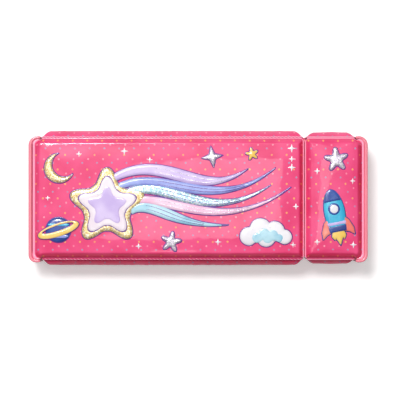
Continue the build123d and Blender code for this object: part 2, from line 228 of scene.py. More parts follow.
def bare_material(name):
    """A new node material, with its Principled shader."""
    material = bpy.data.materials.new(name)
    material.use_nodes = True
    return material, material.node_tree, material.node_tree.nodes["Principled BSDF"]


dot_lattice = dot_lattice_group()
polka_print = polka_print_group()
vinyl_skin = vinyl_skin_group()


def object_place(tree):
    """A place on the piece, in metres."""
    return add_node(tree, "TexCoord").outputs["Object"]


def mark(tree):
    """The mesh's own mark: how pale a weld is, partly as a painted highlight, or below 0 how much
    painted shade darkens the print.
    """
    return add_node(tree, "Attribute", {"attribute_name": "mark"}).outputs["Fac"]


def finish(tree, shader, height, strength, distance=0.0002, **values):
    """Feeds a Principled shader, and bumps it by a height."""
    bump = add_node(tree, "Bump", Height=height, Strength=strength, Distance=distance)
    feed(tree, shader, Normal=bump, **values)


def printed_vinyl():
    """Glossy vinyl printed with dots, read from the sheet's own coordinates."""
    material, tree, shader = bare_material("padded_vinyl")
    sheet = add_node(tree, "UVMap", {"uv_map": "sheet"})
    pattern = place_group(tree, polka_print, Sheet=sheet, Ground=vinyl_pink, Deep=vinyl_deep)
    rough, height = place_group(tree, vinyl_skin, Place=object_place(tree), Roughness=0.26,
                                Spread=0.12).outputs
    weld = mark(tree)
    # Painted shade: below 0 the mark multiplies the print darker by the tint and weakens its coat.
    painted_shade = worked(tree, "MULTIPLY", weld, -1.0)
    drawn = mixed(tree, painted_shade, pattern, painted_shade_tint, "MULTIPLY")
    gloss = ranged(tree, painted_shade, 0.0, 1.0, vinyl_coat, 0.25 * vinyl_coat)
    finish(tree, shader, height, 0.25, Base_Color=mixed(tree, weld, drawn, weld_pale_and_highlight),
           Roughness=rough, Specular_IOR_Level=0.25, Coat_Weight=gloss, Coat_Roughness=0.05)
    return material


padded_vinyl = printed_vinyl()


def smooth_step(low, high, value):
    """0 under low, 1 over high, and an even slope between."""
    t = np.clip((value - low) / (high - low), 0, 1)
    return t * t * (3 - 2 * t)


def rounded_ring(rect, radii, inset, shrink, counts):
    """Points round a rectangle with rounded corners, anticlockwise, each with its way outwards."""
    u0, u1, v0, v1 = rect[0] + inset, rect[1] - inset, rect[2] + inset, rect[3] - inset
    along, up, turn = counts
    corners = [(u1, v0, 1, -1, radii[1], -90, up), (u1, v1, 1, 1, radii[1], 0, along),
               (u0, v1, -1, 1, radii[0], 90, up), (u0, v0, -1, -1, radii[0], 180, along)]
    arcs = []
    for u, v, side_u, side_v, radius, start, _ in corners:
        r = radius * shrink
        angles = np.radians(start + 90 * np.arange(turn + 1) / turn)
        arcs.append(np.stack([u - side_u * r + r * np.cos(angles), v - side_v * r + r * np.sin(angles),
                              np.cos(angles), np.sin(angles)], 1))
    ring = []
    for k, corner in enumerate(corners):
        ring.extend(arcs[k])
        last = arcs[k][-1]
        first = arcs[(k + 1) % 4][0]
        for m in range(1, corner[6]):
            point = last + (first - last) * m / corner[6]
            ring.append(np.array([point[0], point[1], last[2], last[3]]))
    return np.array(ring)


def waviness(points, size, seed):
    """Smooth random heights, about -1 to 1, at points of the sheet."""
    return np.array([noise.noise(Vector((u / size, v / size, seed))) for u, v in points])


facings = {
    "up": (lambda u, v, h, base: (u, v, base + h), lambda x, y, z: (x, y)),
    "front": (lambda u, v, h, base: (u, base - h, v + fold_edge + fold_height),
              lambda x, y, z: (x, z - fold_edge - fold_height)),
    "back": (lambda u, v, h, base: (u, base + h, fold_edge + fold_height - v),
             lambda x, y, z: (x, fold_edge + fold_height - z)),
    "down": (lambda u, v, h, base: (u, -v, base - h), lambda x, y, z: (x, -y)),
}


# From the lower edge over the weld to the groove: share of its width, share of its height, how pale
# it is, and how far it reaches past its width. On a fold the edge hollows round the fold's bead.
free_edge = [(1.0, 0.0, 0.0, 0.0), (1.0, 0.3, 0.3, 0.0), (0.97, 0.62, 1.0, 0.0),
             (0.86, 0.88, 1.0, 0.0), (0.66, 1.0, 1.0, 0.0), (0.42, 0.98, 1.0, 0.0),
             (0.2, 0.9, 0.7, 0.0), (0.06, 0.78, 0.25, 0.0)]
# Paleness here is partly a painted highlight along the back fold's bead.
back_fold = [(1.0, 0.0, 0.0, 0.25), (1.0, 0.25, 0.0, 0.05), (1.0, 0.5, 0.1, 0.0),
             (1.0, 0.75, 0.55, 0.05), (1.0, 0.94, 0.9, 0.22), (0.75, 1.0, 0.9, 0.08),
             (0.45, 1.01, 0.8, 0.0), (0.1, 1.02, 0.35, 0.0)]
# Painted shade: the -1 darkens the print on the front fold's strip.
front_fold = [(1.0, 0.0, -1.0, 0.0), (1.0, 0.03, -1.0, 0.0), (1.0, 0.06, -1.0, 0.0),
              (0.94, 0.14, -1.0, 0.0), (0.78, 0.34, -1.0, 0.0), (0.58, 0.56, -1.0, 0.0),
              (0.34, 0.74, -1.0, 0.0), (0.1, 0.86, -1.0, 0.0)]


def band_faces(count, bands):
    """Quads that join each closed ring of points to the next."""
    faces = []
    for k in range(bands):
        for i in range(count):
            j = (i + 1) % count
            faces.append((k * count + i, k * count + j, (k + 1) * count + j, (k + 1) * count + i))
    return faces


def pressed_out(piece, depth, from_corner):
    """Presses the welded skin outwards with foam, as a short cloth simulation on a large copy.
    The foam is cut short of the corners, so the skin keeps its shape there."""
    mesh = piece.data.copy()
    points = np.empty(3 * len(mesh.vertices))
    mesh.vertices.foreach_get("co", points)
    mesh.vertices.foreach_set("co", points * cloth_scale)
    large = placed("large_copy", mesh)
    group = large.vertex_groups.new(name="weld")
    group.add([int(k) for k in np.flatnonzero(depth < pinned)], 1.0, "REPLACE")
    cloth = large.modifiers.new("foam", "CLOTH")
    cloth.collision_settings.use_collision = False
    cloth.point_cache.frame_end = cloth_frames
    for key, value in cloth_values.items():
        setattr(cloth.settings, key, value)
    cloth.settings.effector_weights.gravity = 0
    for frame_number in range(1, cloth_frames + 1):
        bpy.context.scene.frame_set(frame_number)
    settled = large.evaluated_get(bpy.context.evaluated_depsgraph_get()).data
    after = np.empty_like(points)
    settled.vertices.foreach_get("co", after)
    moved = (after / cloth_scale - points).reshape(-1, 3)
    reach = np.linalg.norm(moved, axis=1)
    moved *= (np.minimum(reach, cloth_limit * METRES) / np.maximum(reach, 1e-9))[:, None]
    share = smooth_step(pinned, fully_free, depth) * smooth_step(*corner_span, from_corner)
    moved *= share[:, None]
    piece.data.vertices.foreach_set("co", (points.reshape(-1, 3) + moved).ravel())
    piece.data.update()
    bpy.data.objects.remove(large)
    bpy.data.meshes.remove(mesh)
    bpy.context.scene.frame_set(1)


cloth_scale = 100.0
cloth_frames = 10
cloth_limit = 0.3
cloth_values = {
    "quality": 3, "mass": 0.3, "tension_stiffness": 20, "compression_stiffness": 20,
    "shear_stiffness": 10, "bending_stiffness": 1.0, "vertex_group_mass": "weld",
    "shrink_min": -0.012, "use_pressure": True, "uniform_pressure_force": 0.8,
}
pinned = 0.3
fully_free = 2.5
corner_span = (4, 16)
corner_steps = 7
roll_margin = 1.1
ripple_gain = 1.3
swell_from = 0.6
wide_share = 0.75
fine_share = 0.3
level_edge = 2
least_height = 2
roll_rings = 14
roll_spacing = 1.35
pucker_length = 3.4
crown_slope = 14
wide_wave = 26
fine_wave = 9


def padded_panel(name, node, facing, rect, radii, border, rise, roll, shape, body,
                 crown=0.0, step=1.15, plate=1.0, unevenness=0.1, pucker=0.08, seed=1.0, flare=0.0,
                 tuck=None, painted_shade_share=(0.2, 1.0)):
    """A welded padded panel: bead at the edge, groove, steep roll and a soft top, closed below.
    The last argument is how much painted shade darkens the print on the roll, along the sheet's upper
    edge and along the rest of its edge."""
    place, sheet_of = facings[facing]
    low, high = box_mm(node)
    base = {"up": low[2], "front": high[1], "back": low[1], "down": high[2]}[facing]
    last_inset = max(roll, *radii) + roll_margin
    along = max(8, round((rect[1] - rect[0] - 2 * last_inset) / step))
    up = max(6, round((rect[3] - rect[2] - 2 * last_inset) / step))
    counts = (along, up, corner_steps)
    first = rounded_ring(rect, radii, 0, 1, counts)
    widths, on_fold = border(first)
    rings = []
    for free, *folds in zip(free_edge, back_fold, front_fold):
        fold = [np.where(first[:, 3] > 0, *pair) for pair in zip(*folds)]
        out, height, pale, reach = [(1 - on_fold) * f + on_fold * g for f, g in zip(free, fold)]
        reach = reach + widths * (out + flare * (1 - on_fold) * (1 - free[1]) ** 2)
        points = first[:, :2] + first[:, 2:] * reach[:, None]
        rings.append((points, plate * height, pale))
    groove = rings[-1][1]
    perimeter = np.cumsum(np.linalg.norm(np.diff(first[:, :2], axis=0, append=first[:1, :2]), axis=1))
    fold = np.array([noise.noise(Vector((s / pucker_length, seed, 0.5))) for s in perimeter])
    for k in range(1, roll_rings + 1):
        inset = last_inset * (k / roll_rings) ** roll_spacing
        t = min(inset / roll, 1)
        profile = (1 - (1 - t) ** shape[0]) ** (1 / shape[1])
        ring = rounded_ring(rect, radii, inset, 1 - inset / last_inset, counts)
        ripple = pucker * fold * math.sin(math.pi * min(inset / last_inset, 1)) * ripple_gain
        heights = groove + (plate + rise - groove) * profile + ripple
        # Painted shade on the roll, strongest towards its foot and none at its top.
        deep = np.where(first[:, 3] > 0, *painted_shade_share) * min(k / 2, 1) * (1 - t ** 3)
        rings.append((ring[:, :2], heights, -deep))
    us = np.linspace(rect[0] + last_inset, rect[1] - last_inset, along + 1)
    vs = np.linspace(rect[2] + last_inset, rect[3] - last_inset, up + 1)
    grid_u, grid_v = np.meshgrid(us, vs, indexing="ij")
    grid = np.stack([grid_u.ravel(), grid_v.ravel()], 1)
    rings.append((grid, np.full(len(grid), plate + rise), np.zeros(len(grid))))
    points, heights, marks = [np.concatenate([r[k] for r in rings]) for k in range(3)]
    depth = np.minimum.reduce([points[:, 0] - rect[0], rect[1] - points[:, 0],
                               points[:, 1] - rect[2], rect[3] - points[:, 1]])
    swell = smooth_step(roll * swell_from, roll * swell_from + crown_slope, depth)
    shallow = smooth_step(pinned, roll + level_edge, depth)
    uneven = (wide_share * waviness(points, wide_wave, seed) * shallow
              + fine_share * waviness(points, fine_wave, seed + 5) * swell)
    heights = heights + crown * swell + unevenness * uneven
    if tuck:
        points = tuck(points)
    count = len(first)
    faces = band_faces(count, len(rings) - 2)
    start = (len(rings) - 1) * count
    for i in range(along):
        for j in range(up):
            a = start + i * (up + 1) + j
            faces.append((a, a + up + 1, a + up + 2, a + 1))
    faces.append(tuple(reversed(range(count))))
    verts = [place(u, v, h, base) for (u, v), h in zip(points, heights)]
    piece = new_piece(name, verts, faces, body, "padded_vinyl", padded_vinyl, marks=marks)
    layer = piece.data.uv_layers.new(name="sheet")
    spots = np.array([sheet_of(*(v.co / METRES)) for v in piece.data.vertices])
    for loop in piece.data.loops:
        layer.data[loop.index].uv = spots[loop.vertex_index]
    if plate + rise > least_height:
        to_end = np.minimum(spots[:, 0] - rect[0], rect[1] - spots[:, 0])
        to_fold = np.minimum(spots[:, 1] - rect[2], rect[3] - spots[:, 1])
        pressed_out(piece, np.minimum(to_end, to_fold), np.maximum(to_end, to_fold))
    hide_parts(node)
    return piece


def on_strip(strip, u):
    """1 between the ends of a lid's fold, 0 beside the caps' arms."""
    opening, closing = [smooth_step(end - strip_fade, end + strip_fade, u) for end in strip]
    return opening * (1 - closing)


def lid_border(rect, low, high, strip):
    """Width of a lid's weld at each point of its edge, fuller at the corners inside the caps."""
    def border(ring):
        folded = on_strip(strip, ring[:, 0])
        side = np.where(ring[:, 2] < 0, rect[0] - low[0], high[0] - rect[1])
        fold = np.where(ring[:, 3] < 0, rect[2] - low[1], high[1] - rect[3])
        corner = 2 * np.abs(ring[:, 2] * ring[:, 3]) * (side > corner_from) * corner_fill
        return np.hypot(ring[:, 2] * side, ring[:, 3] * fold) + corner, folded * ring[:, 3] ** 2
    return border


def lid_tuck(strip):
    """Draws a lid's back corners in beside the caps' arms, so that they stay clear of them as it
    opens, and lets its front corners out to the fold's line."""
    def tuck(points):
        free = 1 - on_strip(strip, points[:, 0])
        edge = smooth_step(tuck_from, lid_side, np.abs(points[:, 1]))
        drawn = points.copy()
        drawn[:, 1] -= np.where(points[:, 1] > 0, corner_tuck, corner_out) * free * edge
        return drawn
    return tuck


def even_border(width):
    """The same weld width all round, with a free edge."""
    def border(ring):
        return np.full(len(ring), width), np.zeros(len(ring))
    return border


lid_side = 41.9
lid_rise = 3.6
lid_crown = 0.6
lid_roll = 3.3
lid_shape = (1.45, 1.05)
corner_tuck = 1.15
corner_out = 0.9
tuck_from = 35.0
strip_fade = 0.5
corner_fill = 0.8
corner_from = 1.3
outer_weld = 1.6
inner_weld = 0.75
end_reach = 0.5
lid_radii = (3.8, 1.6)
lid_flare = 0.3


def lid_panel(name, node, seam_node, welds, radii, body, seed, reach=0.0):
    """The padded skin of a lid, with the strips that reach its folds."""
    low, high = box_mm(node)
    seam_low, seam_high = box_mm(seam_node)
    high[0] += reach
    rect = (low[0] + welds[0], high[0] - welds[1], -lid_side, lid_side)
    border = lid_border(rect, low, high, (seam_low[0], seam_high[0]))
    return padded_panel(name, node, "up", rect, radii, border, lid_rise, lid_roll, lid_shape, body,
                        crown=lid_crown, unevenness=0.19, pucker=0.02, seed=seed, flare=lid_flare,
                        tuck=lid_tuck((seam_low[0], seam_high[0])))


main_lid_skin = lid_panel("main_lid_skin", "main_lid_pad", "main_flap_seam",
                          (outer_weld, inner_weld), lid_radii, "main_lid", 1.7)


# Small lid. It is made as the large one is, and covers the small compartment at the right end.
# Its inner edge runs beside the large lid's, with a narrow gap between the two welds.
small_lid_skin = lid_panel("small_lid_skin", "small_lid_pad", "small_flap_seam",
                           (inner_weld, outer_weld), lid_radii[::-1], "small_lid", 8.3,
                           reach=end_reach)


# Padded flaps and spines. Each lid's sheet folds down over the front as a magnet flap, and the
# same sheet covers the back as a fixed spine panel. Foam fills all four, and their ends slope.
side_weld = 1.0
side_roll = 5.2
side_shape = (1.55, 1.25)
side_radius = 1.5
side_reach = 0.4
side_panels = {
    "main_flap": ("front", "main_flap", 4.1, 2.2),
    "small_flap": ("front", "small_flap", 3.2, 3.1),
    "main_spine": ("back", "case", 4.1, 4.6),
    "small_spine": ("back", "case", 3.2, 5.9),
}
for side_name, (facing, body, rise, seed) in side_panels.items():
    node = side_name + "_pad"
    low, high = box_mm(node)
    sheet_of = facings[facing][1]
    ends = sorted([sheet_of(0, 0, low[2])[1], sheet_of(0, 0, high[2])[1]])
    rect = (low[0] + side_weld - side_reach, high[0] - side_weld + side_reach,
            ends[0] + side_weld, ends[1] - side_weld)
    # The front flaps get painted shade on their rolls, and the spines get none.
    padded_panel(side_name + "_skin", node, facing, rect, (side_radius, side_radius),
                 even_border(side_weld), rise, side_roll, side_shape, body,
                 unevenness=0.12, pucker=0.12, seed=seed,
                 painted_shade_share=(0.9, 0.9) if facing == "front" else (0.0, 0.0))


# Underside. A thin padded panel that the box rests on, welded round its edge. It is flat over
# almost all of its area, because the weight of the box presses it down.
base_rise = 1.2
base_roll = 2.4
base_plate = 0.6
base_radius = 3.0
low, high = box_mm("base_pad")
base_rect = (low[0] + side_weld, high[0] - side_weld, -high[1] + side_weld, -low[1] - side_weld)
padded_panel("base_skin", "base_pad", "down", base_rect, (base_radius, base_radius),
             even_border(side_weld), base_rise, base_roll, (2.0, 2.0), "case",
             plate=base_plate, unevenness=0.0, pucker=0.0, step=1.6)


# Fold welds. Along each fold the vinyl is drawn into a round bead. On the large lid the tool
# leaves a twisted, rope-like line, and on the small lid a smooth one.
rope_pitch = 2.55
rope_radius = 0.74
rope_low_radius = 0.62
rope_drop = 0.3
rope_strands = 3
rope_depth = 0.4
plain_depth = 0.03
rope_step = 0.3
rope_sides = 20
rope_end = 1.2
rope_tip = 0.02
fold_sink = 0.4
plain_pale = 0.6
front_highlight_side = (0.1, 0.7)
# Darker tone of the welded vinyl, used as painted shade in the beads' hollows and on the front bead's
# back side.
weld_shade_tone = (0.55, 0.035, 0.13)
foot_half = 0.28
foot_reach = 0.5
swell_share = 0.03
swell_length = 4.0
back_highlight = 0.1


def weld_material():
    """Smooth vinyl without print: pale where the mark is high, as a painted highlight on the beads'
    crests and the back beads, and a darker tone where it is low, as painted shade.
    """
    material, tree, shader = bare_material("welded_vinyl")
    raised = mark(tree)
    rough, height = place_group(tree, vinyl_skin, Place=object_place(tree), Spread=0.14,
                                Roughness=ranged(tree, raised, 0.0, 0.4, 0.55, 0.28)).outputs
    finish(tree, shader, height, 0.2, 0.0001, Base_Color=mixed(tree, raised, weld_shade_tone, weld_pale_and_highlight),
           Roughness=rough, Specular_IOR_Level=0.25, Coat_Roughness=0.12,
           Coat_Weight=ranged(tree, raised, 0.1, 0.5, 0.0, 0.3))
    return material


welded_vinyl = weld_material()


def add_part(verts, faces, part):
    """Appends one closed part's points and faces to a piece's lists."""
    start = len(verts)
    verts.extend(part[0])
    faces.extend(tuple(start + i for i in face) for face in part[1])


def rope_bead(name, node, body, twist, centre_y, radius_there, height, pale_from):
    """A bead along X with rounded ends: twisted strands, or a plain round with faint swells."""
    low, high = box_mm(node)
    count = round((high[0] - low[0]) / rope_step)
    xs = np.linspace(low[0], high[0], count + 1)
    angles = 2 * math.pi * np.arange(rope_sides) / rope_sides
    verts = []
    marks = []
    for x in xs:
        to_end = min(x - low[0], high[0] - x)
        ending = math.sqrt(max(rope_tip, 1 - (1 - min(to_end / rope_end, 1)) ** 2))
        turn = 2 * math.pi * x / (rope_strands * rope_pitch)
        lobes = np.abs(np.cos(rope_strands / 2 * (angles - turn)))
        swell = 1 + swell_share * noise.noise(Vector((x / swell_length, centre_y, 0)))
        radius = radius_there * ending * swell * (1 - twist * (1 - lobes))
        verts += [(x, centre_y + r * math.cos(a), height + r * math.sin(a))
                  for a, r in zip(angles, radius)]
        # Painted highlight: the strands' crests are pale, and their hollows keep the darker tone as
        # painted shade.
        pale = smooth_step(pale_from, 1.0, lobes) if twist > plain_depth else plain_pale + 0 * lobes
        # The front bead is pale only from its top round to its front, with its lit back side left dark
        # as painted shade. The back bead is paler all over as a painted highlight.
        if centre_y < 0:
            pale = pale * smooth_step(*front_highlight_side, np.sin(angles - front_highlight_turn))
        else:
            pale = pale + back_highlight
        marks += list(pale)
    faces = band_faces(rope_sides, count)
    faces.append(tuple(reversed(range(rope_sides))))
    faces.append(tuple(range(count * rope_sides, (count + 1) * rope_sides)))
    if centre_y > 0:
        foot = (centre_y - foot_half, centre_y + foot_half, fold_height - rope_radius - foot_reach,
                fold_height - rope_radius / 2)
    else:
        foot = (centre_y + rope_radius / 2, centre_y + rope_radius + foot_reach,
                fold_height - 2 * foot_half, fold_height - foot_half)
    corners = [(x, foot[j], foot[k]) for x in (low[0] + rope_end, high[0] - rope_end)
               for j, k in ((0, 2), (1, 2), (1, 3), (0, 3))]
    add_part(verts, faces, (corners, ((3, 2, 1, 0), (4, 5, 6, 7), (0, 1, 5, 4), (1, 2, 6, 5),
                                      (2, 3, 7, 6), (3, 0, 4, 7))))
    marks += [0.0] * len(corners)
    piece = new_piece(name, verts, faces, body, "welded_vinyl", welded_vinyl, marks=marks)
    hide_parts(node)


front_highlight_turn = 0.75
low_fold = (-fold_edge - fold_sink, rope_low_radius, fold_height - rope_drop, 0.7)
high_fold = (fold_edge, rope_radius, fold_height, 0.2)
rope_bead("main_hinge_bead", "main_hinge_seam", "case", rope_depth, *high_fold)
rope_bead("main_flap_bead", "main_flap_seam", "main_lid", rope_depth, *low_fold)
rope_bead("small_hinge_bead", "small_hinge_seam", "case", plain_depth, *high_fold)
rope_bead("small_flap_bead", "small_flap_seam", "small_lid", plain_depth, *low_fold)


# End caps. A glossy coral moulding clips on each short end: a wall with a rounded lip, two short
# arms round the corners, a floor lip under the case and two hooks inside.
cap_coral = (0.96, 0.255, 0.335)
cap_wall = 2.4
cap_arm = 2.0
cap_outer_radius = 6.4
cap_inner_radius = 4.4
cap_front_radius = 5.4
cap_flange = 1.6
cap_edge = 0.45
cap_corner_gap = 0.3
arm_points = 5
arc_points = 15
wall_points = 26
ledge_drop = 1.6
ledge_fade = 0.2
lip_foot = 0.6
foot_round = 0.13
lip_steps = 12
lip_square = 0.68
arm_squeeze = ((0.55, 0.965), (0.9, 0.9825), (1.0, 1.0))
sunk = 0.4


def moulded_plastic_group():
    """Surface of moulded plastic: slight tint changes, roughness and a fine grain height."""
    group, given, result = new_group(
        "moulded_plastic",
        {"Place": nowhere, "Color": white, "Shade": 0.9, "Roughness": 0.3, "Spread": 0.1,
         "Grain": 900.0}, ["Color", "Roughness", "Height"])
    flow = noisy(group, given["Place"], 38.0, 3.0, Distortion=0.6)
    dark = mixed(group, 1.0, given["Color"], given["Shade"], "MULTIPLY")
    feed(group, result, Color=mixed(group, flow, dark, given["Color"]),
         Roughness=worked(group, "MULTIPLY_ADD", flow, given["Spread"], given["Roughness"]),
         Height=noisy(group, given["Place"], given["Grain"], 2.0))
    return group


moulded_plastic = moulded_plastic_group()


def plastic(name, colour, roughness, coat, grain, strength):
    """Moulded plastic of one colour, with its sheen and grain."""
    material, tree, shader = bare_material(name)
    tint, rough, height = place_group(tree, moulded_plastic, Place=object_place(tree), Color=colour,
                                      Shade=0.88, Roughness=roughness, Grain=grain).outputs
    finish(tree, shader, height, strength, Base_Color=tint, Roughness=rough, Coat_Weight=coat,
           Coat_Roughness=0.06)
    return material


cap_plastic = plastic("cap_plastic", cap_coral, 0.18, 0.4, 400.0, 0.04)


def cap_plan(arm_end, outer_x, outer_y, front_reach):
    """Matching points of a cap's outer, inner and lip line, from one arm's end round to the other's.
    The front arm is thicker under its lip."""
    inner_x = outer_x - cap_wall
    inner_y = outer_y - cap_arm
    halves = []
    for side, reach, radius in ((-1, front_reach, cap_front_radius), (1, 0.0, cap_outer_radius)):
        corners = ((outer_x, outer_y + reach, radius), (inner_x, inner_y, cap_inner_radius),
                   (inner_x, inner_y + reach, radius - cap_arm))
        lines = []
        for x, y, r in corners:
            arm = [(u, y) for u in np.linspace(arm_end, x - r - cap_corner_gap, arm_points)]
            arc = [(x - r * (1 - math.sin(a)), y - r * (1 - math.cos(a)))
                   for a in np.linspace(0, math.pi / 2, arc_points)]
            lines.append([(u, side * v) for u, v in arm + arc])
        halves.append(list(zip(*lines)))
    front_y, back_y = [half[-1][0][1] for half in halves]
    straight = [((outer_x, y), (inner_x, y), (inner_x, y))
                for y in np.linspace(front_y, back_y, wall_points)[1:-1]]
    return halves[0] + straight + halves[1][::-1]


def lip_section(bottom, top):
    """A wall's section, from inside to outside: share of the thickness, height, whether in the lip."""
    lip = cap_arm / 2
    ledge = top - lip - ledge_drop
    foot = top - lip - lip_foot
    middle = (bottom + top) / 2
    section = [(0.0, bottom + cap_edge, False), (0.0, middle, False), (0.0, ledge, False),
               (0.0, ledge + ledge_fade, True), (0.0, foot, True)]
    for k in range(lip_steps + 1):
        a = math.pi * k / lip_steps
        across = math.copysign(abs(math.cos(a)) ** lip_square, math.cos(a))
        section.append((0.5 - 0.5 * across, top - lip + lip * math.sin(a) ** lip_square, True))
    lower = [(1.0, foot), (1.0, middle), (1.0, bottom + cap_edge), (0.93, bottom + foot_round),
             (0.8, bottom), (0.2, bottom), (0.07, bottom + foot_round)]
    return section + [(share, z, False) for share, z in lower]


def bevelled(work, edges, width, profile):
    """Points and faces of a mesh in the making, with some of its edges rounded."""
    bmesh.ops.bevel(work, geom=edges, offset=width, segments=2, profile=profile, affect="EDGES",
                    clamp_overlap=True)
    verts = [tuple(v.co) for v in work.verts]
    faces = [tuple(v.index for v in f.verts) for f in work.faces]
    work.free()
    return verts, faces


def rounded_block(low, high, edge):
    """Points and faces of a block with rounded edges, for small moulded details."""
    work = bmesh.new()
    bmesh.ops.create_cube(work, size=1.0)
    for vert in work.verts:
        vert.co = Vector([(low[k] + high[k]) / 2 + vert.co[k] * (high[k] - low[k]) for k in range(3)])
    return bevelled(work, work.edges[:], edge, 0.5)


hook_width = 11.0
hook_spacing = 44.0
hook_z = 26.9
hook_stem = 2.2
hook_barb = 1.0
hook_tip = 1.0
hook_gap = 0.3
hook_edge = 0.2
lip_edge = 0.3
lip_overlap = 0.3
bay_end = 115.6


def end_cap(name, node, side):
    """Sweeps the lip section round the cap's plan, then adds the floor lip and the hooks."""
    low, high = box_mm(node)
    outer_x = max(abs(low[0]), abs(high[0]))
    arm_end = min(abs(low[0]), abs(high[0]))
    front_reach = -low[1] - high[1]
    plan = cap_plan(arm_end, outer_x, high[1], front_reach)
    section = lip_section(low[2], high[2])
    middle = (low[2] + high[2]) / 2
    verts = []
    for k, (outer, inner, lip) in enumerate(plan):
        to_end = min(k, len(plan) - 1 - k, len(arm_squeeze) - 1)
        squeeze, flatten = arm_squeeze[to_end]
        for share, z, in_lip in section:
            first = lip if in_lip else inner
            share = 0.5 + (share - 0.5) * squeeze
            z = middle + (z - middle) * flatten
            verts.append((side * (first[0] + share * (outer[0] - first[0])),
                          first[1] + share * (outer[1] - first[1]), z))
    count = len(section)
    faces = band_faces(count, len(plan) - 1)
    faces.append(tuple(range(count)))
    faces.append(tuple(reversed(range((len(plan) - 1) * count, len(plan) * count))))
    wall_x = outer_x - cap_wall + sunk
    stem_end = bay_end - hook_gap
    tip = stem_end - hook_tip
    hook_low, hook_high = hook_z - hook_stem / 2, hook_z + hook_stem / 2
    blocks = [(arm_end, wall_x, low[1] + front_reach + cap_arm - lip_overlap,
               high[1] - cap_arm + lip_overlap, low[2], low[2] + cap_flange, lip_edge)]
    for y in (-hook_spacing / 2, hook_spacing / 2):
        sides = (y - hook_width / 2, y + hook_width / 2)
        blocks += [(tip, wall_x, *sides, hook_low, hook_high, hook_edge),
                   (tip, stem_end, *sides, hook_z, hook_high + hook_barb, hook_edge)]
    for x0, x1, y0, y1, z0, z1, edge in blocks:
        ends = sorted([side * x0, side * x1])
        add_part(verts, faces, rounded_block([ends[0], y0, z0], [ends[1], y1, z1], edge))
    piece = new_piece(name, verts, faces, "case", "cap_plastic", cap_plastic)
    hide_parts(node)


end_cap("left_cap", "left_end_cap", -1)
end_cap("right_cap", "right_end_cap", 1)


# Moulded case and its inner parts. Injection-moulded trays with softened edges: the case, the
# divider, the eraser and sharpener tray, the tilting pencil rack and its ears.
plastic_looks = {
    "case_plastic": ((0.86, 0.16, 0.25), 0.3, 0.2, 700.0, 0.08),
    "tray_plastic": ((0.40, 0.27, 0.68), 0.38, 0.0, 1100.0, 0.18),
    "rack_plastic": ((0.13, 0.38, 0.72), 0.28, 0.25, 800.0, 0.08),
    "sharpener_plastic": ((0.03, 0.36, 0.42), 0.2, 0.4, 600.0, 0.05),
}
moulded = [
    ("case_shell", "case", "case_plastic", 0.3),
    ("rack_ears", "case", "case_plastic", 0.2),
    ("bay_divider", "case", "tray_plastic", 0.25),
    ("small_tray", "case", "tray_plastic", 0.25),
    ("pencil_rack", "rack", "rack_plastic", 0.25),
    ("sharpener_body", "case", "sharpener_plastic", 0.25),
]
same_plane = 1.0
sharp_from = 40


def soften(node, edge):
    """The node's shape with its sharp edges rounded a little, as a mould leaves them."""
    work = bmesh.new()
    work.from_mesh(nodes[node].data)
    bmesh.ops.remove_doubles(work, verts=work.verts, dist=MERGE)
    bmesh.ops.dissolve_limit(work, angle_limit=math.radians(same_plane), verts=work.verts,
                             edges=work.edges)
    sharp = [e for e in work.edges
             if len(e.link_faces) == 2 and e.calc_face_angle(0) > math.radians(sharp_from)]
    verts, faces = bevelled(work, sharp, edge * METRES, 0.6)
    return [tuple(c / METRES for c in v) for v in verts], faces


plastics = {name: plastic(name, *looks) for name, looks in plastic_looks.items()}
for node, body, kind, edge in moulded:
    piece = new_piece(node + "_moulding", *soften(node, edge), body, kind, plastics[kind], sharp=35)
    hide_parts(node)


# Boards and linings. Grey-brown board stiffens the padded panels, and the lids and flaps show a
# pink embossed lining on their inner faces.
lining_pink = (0.80, 0.16, 0.30)
board_brown = (0.34, 0.27, 0.19)


def lining_material():
    """Pressed lining with a fine pebbled grain."""
    material, tree, shader = bare_material("lid_lining")
    place = object_place(tree)
    cells = add_node(tree, "TexVoronoi", {"feature": "SMOOTH_F1"}, Vector=place, Scale=1100.0,
                     Smoothness=0.6)
    tint, rough, _ = place_group(tree, moulded_plastic, Place=place, Color=lining_pink, Shade=0.85,
                                 Roughness=0.46).outputs
    finish(tree, shader, cells, 0.45, Base_Color=tint, Roughness=rough)
    return material


def board_material():
    """Pressed board: speckled brown fibre, dull."""
    material, tree, shader = bare_material("stiff_board")
    fibre = noisy(tree, object_place(tree), 700.0, 5.0, Roughness=0.7)
    tone = add_node(tree, "ValToRGB", i0=fibre)
    for element, position, shade in zip(tone.color_ramp.elements, (0.3, 0.75), (0.6, 1.35)):
        element.position = position
        element.color = (*[c * shade for c in board_brown], 1.0)
    finish(tree, shader, fibre, 0.3, Base_Color=tone, Roughness=0.85)
    return material


def give_material(names, material):
    """Puts one material on CAD nodes that keep their own meshes."""
    for name in names:
        nodes[name].data.materials.clear()
        nodes[name].data.materials.append(material)


give_material(["main_lid_board", "small_lid_board", "main_flap_board", "small_flap_board"],
              lining_material())
give_material(["base_board", "main_spine_board", "small_spine_board"], board_material())


# Metal parts. The keepers, the rack's pin, the sharpener's screw and its ground blade are steel,
# and the magnets in the flaps are dark sintered blocks.
def steel(name, tint, roughness, scratch_scale, stretch):
    """Steel with fine lines along one way and a slightly uneven polish."""
    material, tree, shader = bare_material(name)
    mapped = add_node(tree, "Mapping", Vector=object_place(tree), Scale=stretch)
    lines = noisy(tree, mapped, scratch_scale, 4.0)
    finish(tree, shader, lines, 0.15, 0.0001, Metallic=1.0,
           Base_Color=mixed(tree, lines, [c * 0.7 for c in tint], tint),
           Roughness=worked(tree, "MULTIPLY_ADD", lines, 0.2, roughness))
    return material


